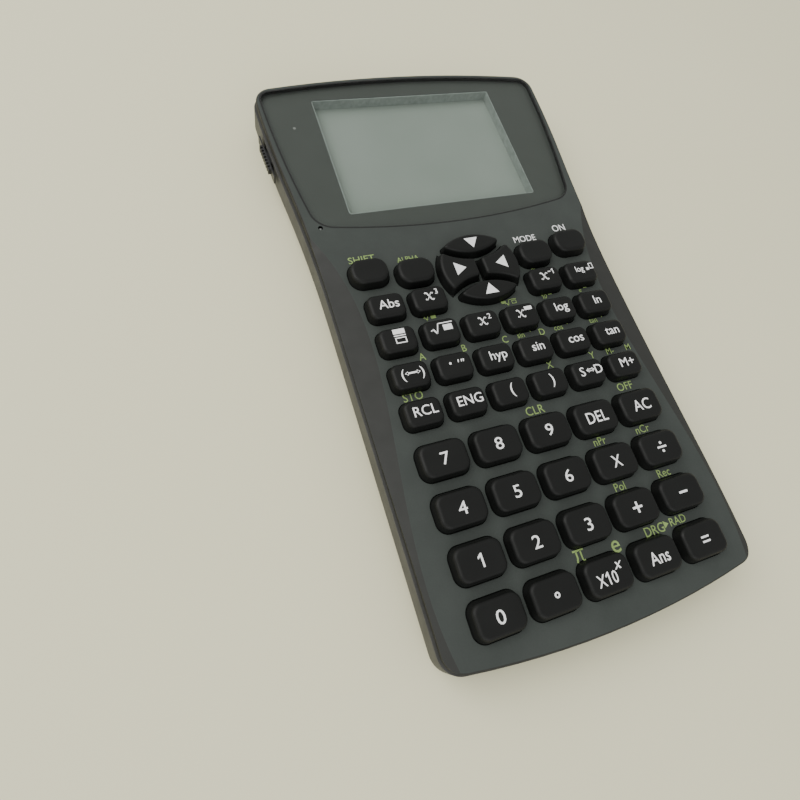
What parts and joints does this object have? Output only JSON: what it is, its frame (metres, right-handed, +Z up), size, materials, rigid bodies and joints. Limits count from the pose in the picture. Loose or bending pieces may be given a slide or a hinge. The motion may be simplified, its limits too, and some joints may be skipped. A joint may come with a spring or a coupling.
{
  "type": "scientific graphing calculator",
  "caption": "Handheld calculator with a large flush display, rectangular travelling keys, a round cursor pad, a side slide switch and a lift-off battery cover.",
  "frame": {"origin": "centre of the bounding box's underside, on the surface that the calculator lies on", "axes": "+Y towards the display end, +X to the user's right, +Z up out of the keys"},
  "size_m": [0.0869, 0.157, 0.0157],
  "materials": {
    "panel": "satin dark greenish grey",
    "shell": "fine matte dark grey",
    "lens": "polished, border printed dark grey on its inner side",
    "display": "unlit grey green liquid crystal glass",
    "board": "green solder resist",
    "membrane": "translucent grey silicone",
    "cell": "foil pouch",
    "screw": "blackened steel",
    "slider": "ribbed black",
    "key": "satin near black with white legends"
  },
  "bodies": {
    "case": {"front_case": "panel", "rear_case": "shell", "display_lens": "lens", "lcd_module": "display", "circuit_board": "board", "key_membrane": "membrane", "battery_pack": "cell", "case_screws": "screw"},
    "battery_cover": {"battery_cover": "shell"},
    "side_switch": {"side_switch": "slider"},
    "key_0": {"key_0": "key"},
    "key_point": {"key_point": "key"},
    "key_exponent": {"key_exponent": "key"},
    "key_answer": {"key_answer": "key"},
    "key_equals": {"key_equals": "key"},
    "key_1": {"key_1": "key"},
    "key_2": {"key_2": "key"},
    "key_3": {"key_3": "key"},
    "key_plus": {"key_plus": "key"},
    "key_minus": {"key_minus": "key"},
    "key_4": {"key_4": "key"},
    "key_5": {"key_5": "key"},
    "key_6": {"key_6": "key"},
    "key_times": {"key_times": "key"},
    "key_divide": {"key_divide": "key"},
    "key_7": {"key_7": "key"},
    "key_8": {"key_8": "key"},
    "key_9": {"key_9": "key"},
    "key_delete": {"key_delete": "key"},
    "key_all_clear": {"key_all_clear": "key"},
    "key_recall": {"key_recall": "key"},
    "key_engineering": {"key_engineering": "key"},
    "key_bracket_open": {"key_bracket_open": "key"},
    "key_bracket_close": {"key_bracket_close": "key"},
    "key_convert": {"key_convert": "key"},
    "key_memory_plus": {"key_memory_plus": "key"},
    "key_negative": {"key_negative": "key"},
    "key_degrees": {"key_degrees": "key"},
    "key_hyperbolic": {"key_hyperbolic": "key"},
    "key_sine": {"key_sine": "key"},
    "key_cosine": {"key_cosine": "key"},
    "key_tangent": {"key_tangent": "key"},
    "key_fraction": {"key_fraction": "key"},
    "key_root": {"key_root": "key"},
    "key_square": {"key_square": "key"},
    "key_power": {"key_power": "key"},
    "key_log": {"key_log": "key"},
    "key_natural_log": {"key_natural_log": "key"},
    "key_absolute": {"key_absolute": "key"},
    "key_cube": {"key_cube": "key"},
    "key_reciprocal": {"key_reciprocal": "key"},
    "key_log_base": {"key_log_base": "key"},
    "key_shift": {"key_shift": "key"},
    "key_alpha": {"key_alpha": "key"},
    "key_mode": {"key_mode": "key"},
    "key_on": {"key_on": "key"},
    "cursor_up": {"cursor_up": "key"},
    "cursor_down": {"cursor_down": "key"},
    "cursor_left": {"cursor_left": "key"},
    "cursor_right": {"cursor_right": "key"}
  },
  "joints": [
    {"name": "key_0_press", "type": "slide", "parent": "case", "child": "key_0", "axis": [0, 0, -1], "range_m": [0, 0.0012], "stiffness_N_per_m": 600, "springref_m": -0.0006},
    {"name": "key_point_press", "type": "slide", "parent": "case", "child": "key_point", "axis": [0, 0, -1], "range_m": [0, 0.0012], "stiffness_N_per_m": 600, "springref_m": -0.0006},
    {"name": "key_exponent_press", "type": "slide", "parent": "case", "child": "key_exponent", "axis": [0, 0, -1], "range_m": [0, 0.0012], "stiffness_N_per_m": 600, "springref_m": -0.0006},
    {"name": "key_answer_press", "type": "slide", "parent": "case", "child": "key_answer", "axis": [0, 0, -1], "range_m": [0, 0.0012], "stiffness_N_per_m": 600, "springref_m": -0.0006},
    {"name": "key_equals_press", "type": "slide", "parent": "case", "child": "key_equals", "axis": [0, 0, -1], "range_m": [0, 0.0012], "stiffness_N_per_m": 600, "springref_m": -0.0006},
    {"name": "key_1_press", "type": "slide", "parent": "case", "child": "key_1", "axis": [0, 0, -1], "range_m": [0, 0.0012], "stiffness_N_per_m": 600, "springref_m": -0.0006},
    {"name": "key_2_press", "type": "slide", "parent": "case", "child": "key_2", "axis": [0, 0, -1], "range_m": [0, 0.0012], "stiffness_N_per_m": 600, "springref_m": -0.0006},
    {"name": "key_3_press", "type": "slide", "parent": "case", "child": "key_3", "axis": [0, 0, -1], "range_m": [0, 0.0012], "stiffness_N_per_m": 600, "springref_m": -0.0006},
    {"name": "key_plus_press", "type": "slide", "parent": "case", "child": "key_plus", "axis": [0, 0, -1], "range_m": [0, 0.0012], "stiffness_N_per_m": 600, "springref_m": -0.0006},
    {"name": "key_minus_press", "type": "slide", "parent": "case", "child": "key_minus", "axis": [0, 0, -1], "range_m": [0, 0.0012], "stiffness_N_per_m": 600, "springref_m": -0.0006},
    {"name": "key_4_press", "type": "slide", "parent": "case", "child": "key_4", "axis": [0, 0, -1], "range_m": [0, 0.0012], "stiffness_N_per_m": 600, "springref_m": -0.0006},
    {"name": "key_5_press", "type": "slide", "parent": "case", "child": "key_5", "axis": [0, 0, -1], "range_m": [0, 0.0012], "stiffness_N_per_m": 600, "springref_m": -0.0006},
    {"name": "key_6_press", "type": "slide", "parent": "case", "child": "key_6", "axis": [0, 0, -1], "range_m": [0, 0.0012], "stiffness_N_per_m": 600, "springref_m": -0.0006},
    {"name": "key_times_press", "type": "slide", "parent": "case", "child": "key_times", "axis": [0, 0, -1], "range_m": [0, 0.0012], "stiffness_N_per_m": 600, "springref_m": -0.0006},
    {"name": "key_divide_press", "type": "slide", "parent": "case", "child": "key_divide", "axis": [0, 0, -1], "range_m": [0, 0.0012], "stiffness_N_per_m": 600, "springref_m": -0.0006},
    {"name": "key_7_press", "type": "slide", "parent": "case", "child": "key_7", "axis": [0, 0, -1], "range_m": [0, 0.0012], "stiffness_N_per_m": 600, "springref_m": -0.0006},
    {"name": "key_8_press", "type": "slide", "parent": "case", "child": "key_8", "axis": [0, 0, -1], "range_m": [0, 0.0012], "stiffness_N_per_m": 600, "springref_m": -0.0006},
    {"name": "key_9_press", "type": "slide", "parent": "case", "child": "key_9", "axis": [0, 0, -1], "range_m": [0, 0.0012], "stiffness_N_per_m": 600, "springref_m": -0.0006},
    {"name": "key_delete_press", "type": "slide", "parent": "case", "child": "key_delete", "axis": [0, 0, -1], "range_m": [0, 0.0012], "stiffness_N_per_m": 600, "springref_m": -0.0006},
    {"name": "key_all_clear_press", "type": "slide", "parent": "case", "child": "key_all_clear", "axis": [0, 0, -1], "range_m": [0, 0.0012], "stiffness_N_per_m": 600, "springref_m": -0.0006},
    {"name": "key_recall_press", "type": "slide", "parent": "case", "child": "key_recall", "axis": [0, 0, -1], "range_m": [0, 0.0012], "stiffness_N_per_m": 600, "springref_m": -0.0006},
    {"name": "key_engineering_press", "type": "slide", "parent": "case", "child": "key_engineering", "axis": [0, 0, -1], "range_m": [0, 0.0012], "stiffness_N_per_m": 600, "springref_m": -0.0006},
    {"name": "key_bracket_open_press", "type": "slide", "parent": "case", "child": "key_bracket_open", "axis": [0, 0, -1], "range_m": [0, 0.0012], "stiffness_N_per_m": 600, "springref_m": -0.0006},
    {"name": "key_bracket_close_press", "type": "slide", "parent": "case", "child": "key_bracket_close", "axis": [0, 0, -1], "range_m": [0, 0.0012], "stiffness_N_per_m": 600, "springref_m": -0.0006},
    {"name": "key_convert_press", "type": "slide", "parent": "case", "child": "key_convert", "axis": [0, 0, -1], "range_m": [0, 0.0012], "stiffness_N_per_m": 600, "springref_m": -0.0006},
    {"name": "key_memory_plus_press", "type": "slide", "parent": "case", "child": "key_memory_plus", "axis": [0, 0, -1], "range_m": [0, 0.0012], "stiffness_N_per_m": 600, "springref_m": -0.0006},
    {"name": "key_negative_press", "type": "slide", "parent": "case", "child": "key_negative", "axis": [0, 0, -1], "range_m": [0, 0.0012], "stiffness_N_per_m": 600, "springref_m": -0.0006},
    {"name": "key_degrees_press", "type": "slide", "parent": "case", "child": "key_degrees", "axis": [0, 0, -1], "range_m": [0, 0.0012], "stiffness_N_per_m": 600, "springref_m": -0.0006},
    {"name": "key_hyperbolic_press", "type": "slide", "parent": "case", "child": "key_hyperbolic", "axis": [0, 0, -1], "range_m": [0, 0.0012], "stiffness_N_per_m": 600, "springref_m": -0.0006},
    {"name": "key_sine_press", "type": "slide", "parent": "case", "child": "key_sine", "axis": [0, 0, -1], "range_m": [0, 0.0012], "stiffness_N_per_m": 600, "springref_m": -0.0006},
    {"name": "key_cosine_press", "type": "slide", "parent": "case", "child": "key_cosine", "axis": [0, 0, -1], "range_m": [0, 0.0012], "stiffness_N_per_m": 600, "springref_m": -0.0006},
    {"name": "key_tangent_press", "type": "slide", "parent": "case", "child": "key_tangent", "axis": [0, 0, -1], "range_m": [0, 0.0012], "stiffness_N_per_m": 600, "springref_m": -0.0006},
    {"name": "key_fraction_press", "type": "slide", "parent": "case", "child": "key_fraction", "axis": [0, 0, -1], "range_m": [0, 0.0012], "stiffness_N_per_m": 600, "springref_m": -0.0006},
    {"name": "key_root_press", "type": "slide", "parent": "case", "child": "key_root", "axis": [0, 0, -1], "range_m": [0, 0.0012], "stiffness_N_per_m": 600, "springref_m": -0.0006},
    {"name": "key_square_press", "type": "slide", "parent": "case", "child": "key_square", "axis": [0, 0, -1], "range_m": [0, 0.0012], "stiffness_N_per_m": 600, "springref_m": -0.0006},
    {"name": "key_power_press", "type": "slide", "parent": "case", "child": "key_power", "axis": [0, 0, -1], "range_m": [0, 0.0012], "stiffness_N_per_m": 600, "springref_m": -0.0006},
    {"name": "key_log_press", "type": "slide", "parent": "case", "child": "key_log", "axis": [0, 0, -1], "range_m": [0, 0.0012], "stiffness_N_per_m": 600, "springref_m": -0.0006},
    {"name": "key_natural_log_press", "type": "slide", "parent": "case", "child": "key_natural_log", "axis": [0, 0, -1], "range_m": [0, 0.0012], "stiffness_N_per_m": 600, "springref_m": -0.0006},
    {"name": "key_absolute_press", "type": "slide", "parent": "case", "child": "key_absolute", "axis": [0, 0, -1], "range_m": [0, 0.0012], "stiffness_N_per_m": 600, "springref_m": -0.0006},
    {"name": "key_cube_press", "type": "slide", "parent": "case", "child": "key_cube", "axis": [0, 0, -1], "range_m": [0, 0.0012], "stiffness_N_per_m": 600, "springref_m": -0.0006},
    {"name": "key_reciprocal_press", "type": "slide", "parent": "case", "child": "key_reciprocal", "axis": [0, 0, -1], "range_m": [0, 0.0012], "stiffness_N_per_m": 600, "springref_m": -0.0006},
    {"name": "key_log_base_press", "type": "slide", "parent": "case", "child": "key_log_base", "axis": [0, 0, -1], "range_m": [0, 0.0012], "stiffness_N_per_m": 600, "springref_m": -0.0006},
    {"name": "key_shift_press", "type": "slide", "parent": "case", "child": "key_shift", "axis": [0, 0, -1], "range_m": [0, 0.0012], "stiffness_N_per_m": 600, "springref_m": -0.0006},
    {"name": "key_alpha_press", "type": "slide", "parent": "case", "child": "key_alpha", "axis": [0, 0, -1], "range_m": [0, 0.0012], "stiffness_N_per_m": 600, "springref_m": -0.0006},
    {"name": "key_mode_press", "type": "slide", "parent": "case", "child": "key_mode", "axis": [0, 0, -1], "range_m": [0, 0.0012], "stiffness_N_per_m": 600, "springref_m": -0.0006},
    {"name": "key_on_press", "type": "slide", "parent": "case", "child": "key_on", "axis": [0, 0, -1], "range_m": [0, 0.0012], "stiffness_N_per_m": 600, "springref_m": -0.0006},
    {"name": "cursor_up_press", "type": "slide", "parent": "case", "child": "cursor_up", "axis": [0, 0, -1], "range_m": [0, 0.0012], "stiffness_N_per_m": 600, "springref_m": -0.0006},
    {"name": "cursor_down_press", "type": "slide", "parent": "case", "child": "cursor_down", "axis": [0, 0, -1], "range_m": [0, 0.0012], "stiffness_N_per_m": 600, "springref_m": -0.0006},
    {"name": "cursor_left_press", "type": "slide", "parent": "case", "child": "cursor_left", "axis": [0, 0, -1], "range_m": [0, 0.0012], "stiffness_N_per_m": 600, "springref_m": -0.0006},
    {"name": "cursor_right_press", "type": "slide", "parent": "case", "child": "cursor_right", "axis": [0, 0, -1], "range_m": [0, 0.0012], "stiffness_N_per_m": 600, "springref_m": -0.0006},
    {"name": "side_switch_slide", "type": "slide", "parent": "case", "child": "side_switch", "axis": [0, 1, 0], "range_m": [-0.0015, 0.0025]},
    {"name": "battery_cover_lift", "type": "slide", "parent": "case", "child": "battery_cover", "axis": [0, 0, -1], "range_m": [0, 0.02]}
  ]
}
